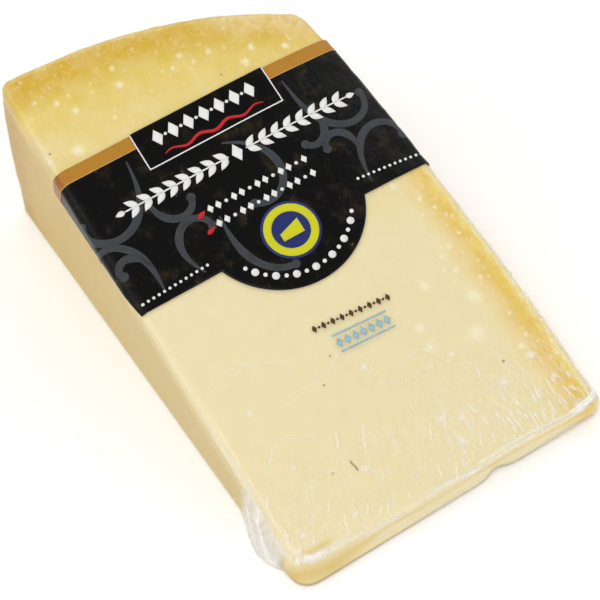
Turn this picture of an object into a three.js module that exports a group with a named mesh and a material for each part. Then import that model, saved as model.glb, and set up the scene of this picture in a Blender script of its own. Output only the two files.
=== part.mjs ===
// A wedge of hard cheese, vacuum-sealed in clear film, with a printed band across its top cut face.
//
// The wedge is a sector of the upper or lower half of a cheese wheel, and it lies on one radial cut.
// The wheel's axis runs along Y, level with the floor. Every point of the wedge is given by its
// distance from that axis (radius), its place along the axis (y) and its angle up from the floor.
// +X points from the thin tip to the rind, and Z = 0 is the face that it rests on. Units are mm.

import * as THREE from 'three';

// The cut of the wheel
const WHEEL_RADIUS = 205.5;
const SECTOR_ANGLE = THREE.MathUtils.degToRad(19.8);
const HALF_WHEEL_HEIGHT = 108.4;
const TIP_AXIS_GAP = 20.6;

// The top face is flat on its left and crowned towards the flank, where it drops by an angle
const CROWN_START_Y = -6;
const CROWN_END_Y = -54;
const CROWN_DROP = 0.026;

// The rind: a barrel-shaped rim that is flat near the mid-height cut, and a crowned flank
const RIM_ARC_RADIUS = 188;
const RIM_ARC_START_Y = 45;
const FLANK_CROWN_RADIUS = 979;
const FLANK_CROWN_START = 41;

// The thin tip: its wall leans out on the left and in on the right, so its two edges run aslant
const TIP_TOP = { left: 23, right: 21.4 };
const TIP_FOOT = { left: 17.6, right: 22.6 };
const FOOT_SPREAD = 2;

// How far each corner of the outline is cut back before its round starts
const CORNER_CUT = { tipLeft: 8.8, heelLeft: 4, heelRight: 4, tipRight: 4.3 };
const TOP_EDGE_ROUND = 2.8;
const FOOT_EDGE_ROUND = 1.8;

// The fold of spare film that stands off the left side by the tip
const EAR_REACH = 4;
const EAR_START_RADIUS = 28;
const EAR_LENGTH = 26;
const EAR_SKEW_POWER = 0.75;
const EAR_SWELL_POWER = 1.3;
const EAR_RISE_POWER = 1.1;

// The printed band, by radius at y = 0 on the top face, with a round lobe on its tip side. It lies a
// little askew: its radius changes by the slope for each mm of y.
const BAND_HEEL_RADIUS = 169.4;
const BAND_TIP_RADIUS = 115.8;
const BAND_SLOPE = -0.024;
const LOBE_CENTRE_RADIUS = 126;
const LOBE_CENTRE_Y = -0.4;
const LOBE_RADIUS = 28;
const BAND_THICKNESS = 0.35;
const CONTACT_GAP = 0.3;

// How far the band goes on past the flat top face, round the edge and down the side, at its tip-side
// and heel-side edges
const WRAP_LEFT = { tip: 2.6, heel: 12.5 };
const WRAP_RIGHT = { tip: 12.6, heel: 12.6 };

// Mesh steps
const EDGE_STEPS = { left: 26, rim: 20, flank: 16, tip: 10 };
const LEFT_STEP_POWER = 1.7;
const CORNER_STEPS = 5;
const ROUND_STEPS = 4;
const WALL_STEPS = 5;
const CAP_SHARES = [0.8, 0.55, 0.3];
const BAND_STEPS = { along: 9, across: 34, wrap: 8 };

const TIP_HEIGHT = TIP_TOP.right * SECTOR_ANGLE;

const lerp = THREE.MathUtils.lerp;

// The point at a radius, place along the axis and angle, as model coordinates
function sectorPoint(radius, y, angle) {
  return new THREE.Vector3(radius * Math.cos(angle) - TIP_AXIS_GAP, y, radius * Math.sin(angle));
}

// The top face's angle up from the floor
function topAngle(y) {
  const share = Math.max(0, CROWN_START_Y - y) / (CROWN_START_Y - CROWN_END_Y);
  return SECTOR_ANGLE - CROWN_DROP * share ** 2;
}

function rimRadius(y) {
  const past = Math.max(0, RIM_ARC_START_Y - y);
  return WHEEL_RADIUS - RIM_ARC_RADIUS + Math.sqrt(RIM_ARC_RADIUS ** 2 - past ** 2);
}

function flankY(radius) {
  const past = Math.max(0, radius - FLANK_CROWN_START);
  return -HALF_WHEEL_HEIGHT / 2 + FLANK_CROWN_RADIUS - Math.sqrt(FLANK_CROWN_RADIUS ** 2 - past ** 2);
}

// Where rim and flank meet, found by going back and forth between them
function shoulderCorner() {
  let radius = WHEEL_RADIUS;
  for (let i = 0; i < 30; i += 1) {
    radius = rimRadius(flankY(radius));
  }
  return new THREE.Vector2(radius, flankY(radius));
}

// The outline's share of the height at a depth below the top face. The outline spreads in the rounds
// by the share of the tip's own height, the thinnest place, and evenly down the wall between them.
function heightShareAt(radius, depth) {
  const wallHeight = radius * SECTOR_ANGLE - TOP_EDGE_ROUND - FOOT_EDGE_ROUND;
  const wallShare = Math.max(0, depth - TOP_EDGE_ROUND) / wallHeight;
  const roundShare = Math.min(depth, TOP_EDGE_ROUND) / TIP_HEIGHT;
  return 1 - roundShare - wallShare * (1 - (TOP_EDGE_ROUND + FOOT_EDGE_ROUND) / TIP_HEIGHT);
}

// How far the spare film reaches out of the left side, at a radius and a share of the height
function earReach(radius, heightShare) {
  const along = (radius - EAR_START_RADIUS) / EAR_LENGTH;
  if (along <= 0 || along >= 1) {
    return 0;
  }
  const swell = Math.sin(Math.PI * along ** EAR_SKEW_POWER) ** EAR_SWELL_POWER;
  return EAR_REACH * swell * (1 - heightShare) ** EAR_RISE_POWER;
}

// The outline as radius and y, clockwise from the tip's left corner, at a share of the height
function outline(heightShare) {
  const leftY = HALF_WHEEL_HEIGHT / 2 + FOOT_SPREAD * (1 - heightShare);
  const tipRight = lerp(TIP_FOOT.right, TIP_TOP.right, heightShare);
  const tipLeft = lerp(TIP_FOOT.left, TIP_TOP.left, heightShare);
  const shoulder = shoulderCorner();
  const corners = {
    tipLeft: new THREE.Vector2(tipLeft, leftY),
    heelLeft: new THREE.Vector2(WHEEL_RADIUS, leftY),
    heelRight: shoulder,
    tipRight: new THREE.Vector2(tipRight, flankY(tipRight)),
  };
  const along = (a, b) => (t) => new THREE.Vector2().lerpVectors(corners[a], corners[b], t);
  const edges = [
    {
      from: 'tipLeft',
      to: 'heelLeft',
      steps: EDGE_STEPS.left,
      power: LEFT_STEP_POWER,
      at: along('tipLeft', 'heelLeft'),
    },
    {
      from: 'heelLeft',
      to: 'heelRight',
      steps: EDGE_STEPS.rim,
      at: (t) => {
        const y = lerp(leftY, shoulder.y, t);
        return new THREE.Vector2(rimRadius(y), y);
      },
    },
    {
      from: 'heelRight',
      to: 'tipRight',
      steps: EDGE_STEPS.flank,
      at: (t) => {
        const radius = lerp(shoulder.x, tipRight, t);
        return new THREE.Vector2(radius, flankY(radius));
      },
    },
    { from: 'tipRight', to: 'tipLeft', steps: EDGE_STEPS.tip, at: along('tipRight', 'tipLeft') },
  ];
  const points = [];
  edges.forEach((edge, i) => {
    const next = edges[(i + 1) % edges.length];
    const length = corners[edge.from].distanceTo(corners[edge.to]);
    const start = CORNER_CUT[edge.from] / length;
    const end = 1 - CORNER_CUT[edge.to] / length;
    for (let k = 0; k <= edge.steps; k += 1) {
      points.push(edge.at(lerp(start, end, (k / edge.steps) ** (edge.power ?? 1))));
    }
    const nextLength = corners[next.from].distanceTo(corners[next.to]);
    const bend = new THREE.QuadraticBezierCurve(
      edge.at(end),
      corners[edge.to],
      next.at(CORNER_CUT[next.from] / nextLength),
    );
    for (let k = 1; k < CORNER_STEPS; k += 1) {
      points.push(bend.getPoint(k / CORNER_STEPS));
    }
  });
  points.forEach((p) => {
    if (p.y > 0) {
      p.y += earReach(p.x, heightShare);
    }
  });
  return points;
}

// The outline drawn in by a distance, at right angles to itself
function inset(points, distance) {
  return points.map((p, i) => {
    const before = points[(i + points.length - 1) % points.length];
    const after = points[(i + 1) % points.length];
    const run = new THREE.Vector2().subVectors(after, before).normalize();
    return new THREE.Vector2(p.x + run.y * distance, p.y - run.x * distance);
  });
}

function shrunk(points, share, centre) {
  return points.map((p) => new THREE.Vector2().lerpVectors(centre, p, share));
}

// The wedge's rings of points, from the middle of its top face out, down its wall and in underneath
function packRings() {
  const centre = new THREE.Vector2((TIP_TOP.right + WHEEL_RADIUS) / 2, 0);
  const topWallShare = 1 - TOP_EDGE_ROUND / TIP_HEIGHT;
  const footWallShare = FOOT_EDGE_ROUND / TIP_HEIGHT;
  const topFlat = inset(outline(1), TOP_EDGE_ROUND);
  const footFlat = inset(outline(0), FOOT_EDGE_ROUND);
  const rings = [];
  const addRing = (points, angleAt) => {
    rings.push(points.map((p) => sectorPoint(p.x, p.y, angleAt(p.x, p.y))));
  };
  [...CAP_SHARES].reverse().forEach((share) => {
    addRing(shrunk(topFlat, share, centre), (radius, y) => topAngle(y));
  });
  for (let k = 0; k <= ROUND_STEPS; k += 1) {
    const turn = ((Math.PI / 2) * k) / ROUND_STEPS;
    const depth = TOP_EDGE_ROUND * (1 - Math.cos(turn));
    const points = inset(outline(1 - depth / TIP_HEIGHT), TOP_EDGE_ROUND * (1 - Math.sin(turn)));
    addRing(points, (radius, y) => topAngle(y) - depth / radius);
  }
  for (let k = 1; k < WALL_STEPS; k += 1) {
    const share = k / WALL_STEPS;
    const angleAt = (radius, y) =>
      lerp(topAngle(y) - TOP_EDGE_ROUND / radius, FOOT_EDGE_ROUND / radius, share);
    addRing(outline(lerp(topWallShare, footWallShare, share)), angleAt);
  }
  for (let k = ROUND_STEPS; k >= 0; k -= 1) {
    const turn = ((Math.PI / 2) * k) / ROUND_STEPS;
    const height = FOOT_EDGE_ROUND * (1 - Math.cos(turn));
    const points = inset(outline(height / TIP_HEIGHT), FOOT_EDGE_ROUND * (1 - Math.sin(turn)));
    addRing(points, (radius) => height / radius);
  }
  CAP_SHARES.forEach((share) => addRing(shrunk(footFlat, share, centre), () => 0));
  return {
    rings,
    topMiddle: sectorPoint(centre.x, centre.y, topAngle(centre.y)),
    footMiddle: sectorPoint(centre.x, centre.y, 0),
  };
}

function closedGeometry(points, triangles) {
  const geometry = new THREE.BufferGeometry();
  geometry.setAttribute('position', new THREE.Float32BufferAttribute(points.flatMap((p) => p.toArray()), 3));
  geometry.setIndex(triangles);
  geometry.computeVertexNormals();
  return geometry;
}

function packGeometry() {
  const { rings, topMiddle, footMiddle } = packRings();
  const count = rings[0].length;
  const points = [...rings.flat(), topMiddle, footMiddle];
  const topIndex = points.length - 2;
  const footIndex = points.length - 1;
  const lastRing = (rings.length - 1) * count;
  const triangles = [];
  for (let i = 0; i < count; i += 1) {
    const j = (i + 1) % count;
    triangles.push(topIndex, j, i);
    triangles.push(footIndex, lastRing + i, lastRing + j);
    for (let ring = 0; ring < rings.length - 1; ring += 1) {
      const upper = ring * count;
      const lower = upper + count;
      triangles.push(upper + i, upper + j, lower + j);
      triangles.push(upper + i, lower + j, lower + i);
    }
  }
  return closedGeometry(points, triangles);
}

// The band's tip-side edge: straight, with the round lobe standing out of it
function bandTipRadius(y) {
  const straight = BAND_TIP_RADIUS + BAND_SLOPE * y;
  const off = Math.abs(y - LOBE_CENTRE_Y);
  if (off >= LOBE_RADIUS) {
    return straight;
  }
  const arc = LOBE_CENTRE_RADIUS - Math.sqrt(LOBE_RADIUS ** 2 - off ** 2);
  return Math.min(straight, arc);
}

// A place on the band that is past the flat top face by a distance, on the left (side 1) or the right
// (side -1): its y and its depth below the top face, at an offset off the wedge
function wrappedPlace(radius, side, past, offset) {
  const round = TOP_EDGE_ROUND;
  const turn = Math.min(past / round, Math.PI / 2);
  const drop = Math.max(0, past - (round * Math.PI) / 2);
  const wallDepth = round * (1 - Math.cos(turn)) + drop;
  const centre = side > 0 ? HALF_WHEEL_HEIGHT / 2 - round : flankY(radius) + round;
  const spread = side > 0 ? FOOT_SPREAD * (1 - heightShareAt(radius, wallDepth)) : 0;
  return {
    y: centre + side * ((round + offset) * Math.sin(turn) + spread),
    depth: wallDepth - offset * Math.cos(turn),
  };
}

// Places across the band from its left end to its right end, at a share of the way from tip to heel
function bandStations(radius, share, offset) {
  const wrapLeft = lerp(WRAP_LEFT.tip, WRAP_LEFT.heel, share);
  const wrapRight = lerp(WRAP_RIGHT.tip, WRAP_RIGHT.heel, share);
  const leftTurn = HALF_WHEEL_HEIGHT / 2 - TOP_EDGE_ROUND;
  const rightTurn = flankY(radius) + TOP_EDGE_ROUND;
  const stations = [];
  for (let k = 0; k < BAND_STEPS.wrap; k += 1) {
    stations.push(wrappedPlace(radius, 1, wrapLeft * (1 - k / BAND_STEPS.wrap), offset));
  }
  for (let k = 0; k <= BAND_STEPS.across; k += 1) {
    stations.push({ y: lerp(leftTurn, rightTurn, k / BAND_STEPS.across), depth: -offset });
  }
  for (let k = 1; k <= BAND_STEPS.wrap; k += 1) {
    stations.push(wrappedPlace(radius, -1, (wrapRight * k) / BAND_STEPS.wrap, offset));
  }
  return stations;
}

function bandSheet(offset) {
  const down = new THREE.Vector3(Math.sin(SECTOR_ANGLE), 0, -Math.cos(SECTOR_ANGLE));
  const rows = [];
  for (let i = 0; i <= BAND_STEPS.along; i += 1) {
    const share = i / BAND_STEPS.along;
    const middle = lerp(BAND_TIP_RADIUS, BAND_HEEL_RADIUS, share);
    rows.push(
      bandStations(middle, share, offset).map((station) => {
        const heel = BAND_HEEL_RADIUS + BAND_SLOPE * station.y;
        const radius = lerp(bandTipRadius(station.y), heel, share);
        return sectorPoint(radius, station.y, topAngle(station.y)).addScaledVector(down, station.depth);
      }),
    );
  }
  return rows;
}

// The printed band as a closed sheet: an outer and an inner skin joined round their edges
function bandGeometry() {
  const outer = bandSheet(CONTACT_GAP + BAND_THICKNESS);
  const inner = bandSheet(CONTACT_GAP);
  const rows = outer.length;
  const columns = outer[0].length;
  const points = [...outer.flat(), ...inner.flat()];
  const innerStart = rows * columns;
  const index = (row, column) => row * columns + column;
  const triangles = [];
  const addQuad = (a, b, c, d) => triangles.push(a, b, c, a, c, d);
  for (let i = 0; i < rows - 1; i += 1) {
    for (let j = 0; j < columns - 1; j += 1) {
      const quad = [index(i, j), index(i, j + 1), index(i + 1, j + 1), index(i + 1, j)];
      addQuad(...quad);
      addQuad(...quad.map((v) => v + innerStart).reverse());
    }
  }
  const rim = [];
  for (let j = 0; j < columns - 1; j += 1) rim.push(index(0, j));
  for (let i = 0; i < rows - 1; i += 1) rim.push(index(i, columns - 1));
  for (let j = columns - 1; j > 0; j -= 1) rim.push(index(rows - 1, j));
  for (let i = rows - 1; i > 0; i -= 1) rim.push(index(i, 0));
  rim.forEach((a, k) => {
    const b = rim[(k + 1) % rim.length];
    addQuad(a + innerStart, b + innerStart, b, a);
  });
  return closedGeometry(points, triangles);
}

const cheeseInFilm = new THREE.MeshStandardMaterial({ color: 0xe6d8a6, roughness: 0.3, metalness: 0 });
const printedBlack = new THREE.MeshStandardMaterial({ color: 0x1b1b1b, roughness: 0.25, metalness: 0 });

const pack = new THREE.Mesh(packGeometry(), cheeseInFilm);
pack.name = 'cheese_pack';

const band = new THREE.Mesh(bandGeometry(), printedBlack);
band.name = 'printed_band';

// The origin is the middle of the resting face's bounding box
const model = new THREE.Group();
model.add(pack, band);
const bounds = new THREE.Box3().setFromObject(model);
model.position.set(-(bounds.min.x + bounds.max.x) / 2, -(bounds.min.y + bounds.max.y) / 2, -bounds.min.z);

export default model;
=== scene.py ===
"""The looks of a vacuum-packed wedge of aged hard cheese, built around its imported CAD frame.

The cheese lies inside a tight clear film, and a printed band crosses the sloping top face. Shapes are
worked out in millimetres. A place on the pack is given as the CAD gives it: by its distance from the
cheese wheel's axis (radius), its place along that axis (y) and its angle up from the floor. On the top
face, radius runs from the thin tip to the rind and y from the rind flank to the mid-height cut.
"""

import functools
import math

import bpy
import numpy as np
from mathutils import Matrix, Vector, geometry


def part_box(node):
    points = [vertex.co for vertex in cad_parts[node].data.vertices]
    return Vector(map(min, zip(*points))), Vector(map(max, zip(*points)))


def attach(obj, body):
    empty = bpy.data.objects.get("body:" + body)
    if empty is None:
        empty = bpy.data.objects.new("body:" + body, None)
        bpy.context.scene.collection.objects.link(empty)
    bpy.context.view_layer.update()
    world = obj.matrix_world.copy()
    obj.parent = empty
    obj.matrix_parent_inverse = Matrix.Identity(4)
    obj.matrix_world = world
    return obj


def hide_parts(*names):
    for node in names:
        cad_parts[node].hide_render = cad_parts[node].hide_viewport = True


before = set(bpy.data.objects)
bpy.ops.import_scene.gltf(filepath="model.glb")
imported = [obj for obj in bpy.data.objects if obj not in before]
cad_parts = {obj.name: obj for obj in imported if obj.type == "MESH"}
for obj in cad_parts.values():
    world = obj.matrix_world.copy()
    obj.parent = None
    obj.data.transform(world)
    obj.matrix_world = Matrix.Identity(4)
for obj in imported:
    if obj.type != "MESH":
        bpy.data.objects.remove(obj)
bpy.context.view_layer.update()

MM = 0.001


# ---------------------------------------------------------------- the pack (mm)

# The wedge, in the CAD's own dimensions
WHEEL_RADIUS = 205.5
SECTOR_ANGLE = math.radians(19.8)
HALF_WHEEL_HEIGHT = 108.4
CROWN_START_Y = -6
CROWN_END_Y = -54
CROWN_DROP = 0.026
RIM_ARC_RADIUS = 188
RIM_ARC_START_Y = 45
FLANK_CROWN_RADIUS = 979
FLANK_CROWN_START = 41
TIP_TOP = {"left": 23, "right": 21.4}
TIP_FOOT = {"left": 17.6, "right": 22.6}
FOOT_SPREAD = 2
CORNER_CUT = {"tip_left": 8.8, "heel_left": 4, "heel_right": 4, "tip_right": 4.3}
TOP_EDGE_ROUND = 2.8
FOOT_EDGE_ROUND = 1.8

# The fold of spare film on the left side by the tip
EAR_REACH = 4
EAR_START_RADIUS = 28
EAR_LENGTH = 26
EAR_SKEW_POWER = 0.75
EAR_SWELL_POWER = 1.3
EAR_RISE_POWER = 1.1

# Where the wedge lies in the frame, and what follows from its dimensions
pack_low, pack_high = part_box("cheese_pack")
AXIS_X = pack_high.x / MM - WHEEL_RADIUS
MIDDLE_Y = pack_low.y / MM + HALF_WHEEL_HEIGHT / 2
LEFT_Y = HALF_WHEEL_HEIGHT / 2
LEFT_TURN = LEFT_Y - TOP_EDGE_ROUND
TIP_HEIGHT = TIP_TOP["right"] * SECTOR_ANGLE
TOP_NORMAL = np.array([-math.sin(SECTOR_ANGLE), 0, math.cos(SECTOR_ANGLE)])

# How far the cheese lies inside the film, and how deep its pits go
FILM_GAP = 0.35
PIT_DEPTH = 0.35

# Unevenness of the whole pack and by its rind: height, size of the bumps, seed
BODY_BUMPS = ((0.22, 26, 1), (0.09, 9, 2))
RIND_BUMPS = ((0.22, 5, 3), (0.1, 2.2, 4))

# How fine the meshes are, how much closer the rows lie at the tip, and the rings underneath
CHEESE_MESH = {"rows": 240, "columns": 210, "round_rings": 5, "wall_rings": 22}
FILM_MESH = {"rows": 215, "columns": 285, "round_rings": 5, "wall_rings": 16}
ROW_GRADING = 0.55
UNDERSIDE_SHARES = (0.97, 0.88, 0.7, 0.45, 0.2)
# The least corner cut of an outline that is drawn in, as a share of how far
CUT_PER_INSET = 1.7

# White crystals that show on the top face: radius, y, half width
CRYSTALS = [
    (186.5, 0, 1.0), (186.5, 21.5, 1.2), (192.5, 21, 0.9), (190, 42, 0.9), (185, 38, 1.1),
    (193.5, 48, 0.7), (172.5, 44, 1.7), (190.5, 37.5, 0.6), (196, 41.5, 0.6), (183.5, 4, 0.7),
    (182.5, -3, 0.7), (178.5, -22, 1.1), (174, -32, 1.1), (183.5, -9, 0.9), (174.5, -17.5, 1.4),
    (81, -26.5, 1.4), (75.5, -43.5, 0.8), (71, -38.5, 2.2), (61, -45, 0.6), (70, -17.5, 1.5),
    (60.5, -32.5, 2.3), (52.5, -45.5, 0.8), (46.5, -42.5, 1.2), (63, -17, 1.4), (89, -40.5, 0.9),
    (81, -38, 0.8), (58, -21.5, 0.7), (83, -34.5, 0.6), (78, -35.5, 0.5), (56.5, -19.5, 0.6),
    (177, 28.5, 0.7), (180, 13.5, 0.5), (188.5, 30.5, 0.5), (195.5, 12, 0.7), (191, 5.5, 0.5),
    (174, 54.5, 1.4), (170, 55, 1.1), (91.5, -46, 0.5), (88.5, -47, 0.45), (80.5, -46, 0.45),
    (74.5, -46, 0.45), (99, -46, 0.5), (102, -39, 0.7), (107.5, -41.5, 0.7), (102.5, -44, 0.6),
    (115, -36, 1.0), (87, -36.5, 0.8), (50, -42, 1.0), (49, -47.5, 0.5), (95.5, -44, 0.4),
    (85, -43.5, 0.4), (110.5, -44.5, 0.5), (97.5, -47.5, 0.4),
]
# Small pits on the top face, painted dark as shade in their hollows: radius, y, half width
PITS = [
    (195, 49, 0.45), (175.5, 52.5, 0.45), (179, 41.5, 0.25), (174.5, -8.5, 0.35),
    (48.5, -34.5, 0.4), (43.5, 29.5, 0.35), (75.5, 11, 0.35), (68.5, 17.5, 0.35),
]
# A thin scratch on the top face, painted dark as shade in its groove, from (radius, y) to (radius, y), its
# width and its depth of colour
SCRATCH = ((44.8, 23.2), (39.8, 22.4))
SCRATCH_SIZE = (0.36, 0.85)

# The notch in the foot of the tip's wall
NOTCH_Y = -15.5
NOTCH_HALF_WIDTH = 3.5
NOTCH_DEPTH = 1.8

# Long faint creases of the film on the top face, as (radius, y) points, and their width and height
CREASES = [
    [(43, -7.5), (43, -17), (42.5, -25.5), (43, -31), (42, -37)],
    [(57, -2.5), (57.5, -10.5), (57.5, -18.5)],
    [(52.5, -41.5), (47.5, -43), (41, -45), (36, -46)],
    [(42, 7), (39.5, -4.5)],
    [(82.5, 49), (86.5, 44.5), (86, 36.5), (83, 29.5), (77.5, 20.5)],
    [(64, -6.5), (63.5, -12), (63.5, -17.5)],
    [(68, 33), (70, 22), (71.5, 13.5), (79.5, 1.5)],
    [(63, 43), (61, 39), (53.5, 24.5)],
    [(58, -1), (63.5, 4)],
    [(47, -36), (44, -37), (35.5, -37)],
]
CREASE_SIZE = (0.8, 0.052)
# Whitish streaks of the film near the tip, as (radius, y) points, and their width and height; their
# whitish colour is partly milky film and partly painted highlight
STREAKS = [
    [(54.5, 22), (48.5, 24.5)], [(52.5, 14), (43.5, 18)], [(41.5, 20.5), (39, 22)],
    [(44.5, 36.5), (42, 37.5)], [(37, 34.5), (33.5, 37.5)], [(31.5, 33), (25, 35.5)],
    [(30.5, 29.5), (28, 31)], [(30, 25.5), (27, 28)], [(28, 22.5), (25.5, 24.5)],
    [(28, 20.5), (24.5, 21.5)], [(27.5, 13.5), (25.5, 14)], [(47.5, 50), (43, 52)],
    [(36, 51), (32, 51.5)], [(59, 41), (54, 45.5)], [(42, -3.5), (37, -1)], [(44.5, -10), (37, -6)],
    [(42.5, -16.5), (38, -18)], [(38.5, -8), (32.5, -9.5)], [(42, -14), (34, -13.5)],
    [(36.5, -23.5), (32, -22.5)], [(35.5, -26.5), (25.5, -27.5)], [(33.5, -29.5), (30, -29.5)],
    [(31, -32), (26, -32)], [(30, -35.5), (25, -35.5)], [(31.5, -43), (26, -43.5)],
    [(33.5, -45.5), (26.5, -47)], [(37.5, -42.5), (30.5, -42)], [(51.5, -26.5), (46.5, -24.5)],
    [(32.5, -15), (28.5, -13.5)], [(31, -18.5), (27.5, -17.5)], [(30, -25.5), (27, -25)],
    [(28, -4), (24.5, -2)], [(30.5, 1), (25.5, 2.5)], [(30.5, -39), (26, -38.5)],
    [(69, 3.5), (66.5, 4), (64, 3.5)],
]
STREAK_SIZE = (0.42, 0.11)
FOLDS_END_RADIUS = 92
# Small whitish patches of the film: radius, y, half width
MILKY_SPOTS = [
    (31.5, 47, 0.7), (28, 50.5, 0.8), (50.5, 39, 0.6), (42, -7.5, 1.3), (32.5, -9, 1.2),
    (42.5, -30.5, 1.1), (29.5, 30.5, 1.0), (46, -43, 1.0), (25.5, -47, 1.5), (52, 53, 0.9),
    (58, -22, 0.6), (71.5, 41.5, 0.8), (67.5, 4, 0.8), (63, -17, 0.7), (33, -9.5, 1.0),
    (39.5, 20.5, 0.7), (39, -13, 0.8),
]
# The inner line of the bead of film along the tip's top edge, as (y, radius) points
BEAD_LINE = (
    (-54, 27.5), (-49, 26), (-42, 24.8), (-35, 25), (-28, 25.5), (-20, 25.4), (-11, 25), (-4, 24.4),
    (20, 23.8), (30, 23.8), (36, 24.5), (43, 24.6), (48, 25.2), (51, 26.3),
)
BEAD_WIDTH = 2.5
# The tip's wall and corners lie within this radius
TIP_END_RADIUS = 40
# The upper edge of the milky part of the spare film, and streaks in it, both partly painted highlight, as
# (radius, height) points
EAR_VEIL_TOP = ((27, 12), (30, 12.5), (41, 13.5), (43.5, 16.5), (45.5, 20))
EAR_STREAKS = (
    [(47, 19), (45, 14), (42, 11), (38.5, 8), (35.5, 4.5)],
    [(50, 12), (46.5, 7.5), (41, 3.5)],
    [(36.5, 6), (33.5, 3), (30.5, 2)],
)
# Fine whitish strokes in the film, partly creased film and partly painted highlight, by their zone:
# heading (degrees round Z), spacing and length
HAIR_LINES = {
    "left_wrinkles": (-26, 1.6, 19),
    "middle_wrinkles": (-17, 1.4, 17),
    "right_wrinkles": (1, 1.1, 18),
    "edge_wrinkles": (3, 0.8, 22),
}

# ---------------------------------------------------------------- the print (mm)

# The printed band by radius at y = 0, and the round lobe on its tip side. It lies a little askew: its
# radius changes by the slope for each mm of y. At both ends it goes on past the flat top face.
BAND_HEEL_RADIUS = 169.4
BAND_TIP_RADIUS = 115.8
BAND_SLOPE = -0.024
BAND_CORNER_CUT = 1.4
WRAP_LEFT = {"tip": 2.6, "heel": 12.5}
WRAP_RIGHT = 12.6
LOBE_CENTRE = (126, -0.4)
LOBE_RADIUS = 28

# Heights of the printed layers over the film's surface
BAND_LIFT = (0.10, 0.24)
FIELD_LIFT = (0.18, 0.31)
MARK_LIFT = (0.25, 0.38)
TOP_MARK_LIFT = (0.32, 0.45)
# The least distance of a print's inner mesh points from its border, as a share of the mesh step
LEAST_BORDER_GAP = 0.35

# The gold strip along the band's heel edge, and how far it goes past the black under it
GOLD_TIP_RADIUS = 164.7
GOLD_CORNER_CUT = 1.3
GOLD_OVERLAP = 0.02
PALE_LINE = (-0.05, 0.3)

# Places of the print are (radius, s): s is y on the top face, and the distance round the edge past it
BOX_LOW = (156.05, -20.9)
BOX_HIGH = (169.9, 28.0)
BOX_LINE = 0.4
BOX_ROW_INSET = 5.2
BOX_ROW_STEP = 5.6
TITLE = (147.8, 1.2)
TITLE_HALF_RUN = 40.5
LEAF_PAIRS = 8
LEAF_PAIR_SPACING = 4.6
LEAF_LEAN = 38
SMALL_ROW_RADII = (135.5, 130.0)
SMALL_ROW_ENDS = (18.2, -16)
SMALL_ROW_COUNT = 13
RED_LEAF_ROOTS = ((134.4, 23.3), (128.4, 23.3))
# The red wave: how far it lies inside the box's tip edge and left end, its height, length and waves
WAVE_INSET = (2.6, 7)
WAVE_HEIGHT = 0.75
WAVE_LENGTH = 36
WAVE_HALF_TURNS = 7
LOBE_DOTS_INSET = 4.6
LOBE_DOTS_HALF_ARC = 56
DOTTED_LINES = (((118.6, 52.0), (119.8, 28.5)), ((121.4, -27.5), (119.6, -50.5)))
ROUNDEL_CENTRE = np.array([116.9, 0.0])
ROUNDEL_RADIUS = 9.7
ROUNDEL_RING = (8.8, 6.2)
ROUNDEL_WEDGE = ((-2.4, 3.9), (0.2, 3.9), (2.6, -3.6), (-2.4, -3.6))
BROWN_ROW = ((85.4, 10.8), (82.9, -14.2))
BROWN_ROW_TO_DOT = (-0.16, -1.56)
PALE_BLUE_LOW = np.array([76.6, -11.3])
PALE_BLUE_HIGH = np.array([77.9, 7.4])
PALE_BLUE_STRIPE_GAP = 2.8

# Grey stems behind the marks: start (radius, s), heading, length, bend at start and end
STEMS = [
    ((162.5, 33), 275, 44, (0.0, 0.15)),
    ((150, 33.5), 285, 24, (-0.05, -0.22)),
    ((118.5, 44), 95, 30, (0.0, -0.13)),
    ((128, 43), 60, 16, (0.02, -0.42)),
    ((118, 30), 60, 30, (0.02, 0.22)),
    ((153, 4), 200, 40, (0.03, 0.14)),
    ((162.5, -24), 262, 42, (0.02, -0.17)),
    ((151, -27), 255, 20, (0.0, 0.27)),
    ((118.5, -31), 95, 34, (0.0, 0.19)),
    ((128, -33), 110, 20, (-0.05, -0.30)),
    ((132, 17), 275, 32, (0.0, -0.10)),
]
STEM_WIDTHS = (0.5, 2.7, 2.1)
STEM_TIP_RADIUS = 1.5
STEM_STEPS = 40

# ---------------------------------------------------------------- colours, as 0 to 255 screen values

# The cheese by its depth from the rind at the thick end, and from the flank (mm)
RIM_COLOURS = [
    (0, (219, 192, 106)), (2, (216, 187, 88)), (3.5, (214, 178, 64)), (8, (215, 178, 56)),
    (12, (220, 191, 82)), (17, (227, 201, 108)), (26, (230, 209, 130)), (60, (233, 217, 160)),
    (95, (235, 222, 179)),
]
# The two palest stops, right at the flank's edge, are partly the paste's colour and partly painted
# highlight of the film over that edge
FLANK_COLOURS = [
    (0, (243, 234, 188)), (1.8, (242, 228, 168)), (3.2, (236, 211, 120)), (4.6, (231, 200, 94)),
    (6, (230, 199, 101)), (8, (231, 203, 124)), (11, (234, 211, 149)), (15, (236, 221, 173)),
    (22, (237, 225, 185)),
]
# What the left cut leaves of each colour channel of linear light: partly its tan colour and partly painted
# shade on that side
SIDE_CUT_SHADE = (0.785, 0.665, 0.375)

# The colours of worn patches in the print and of the glints in them, which are painted highlights
BROWN_WEAR_AND_GLINT = ((60, 50, 34), (150, 126, 84))
GREY_WEAR_AND_GLINT = ((44, 46, 49), (96, 92, 80))
GOLD_WEAR_AND_GLINT = ((150, 96, 42), (238, 200, 130))
# The gold where it wraps the left edge, browner as painted shade on the side of the edge
GOLD_WRAPPED_SHADE = (150, 94, 52)
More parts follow.
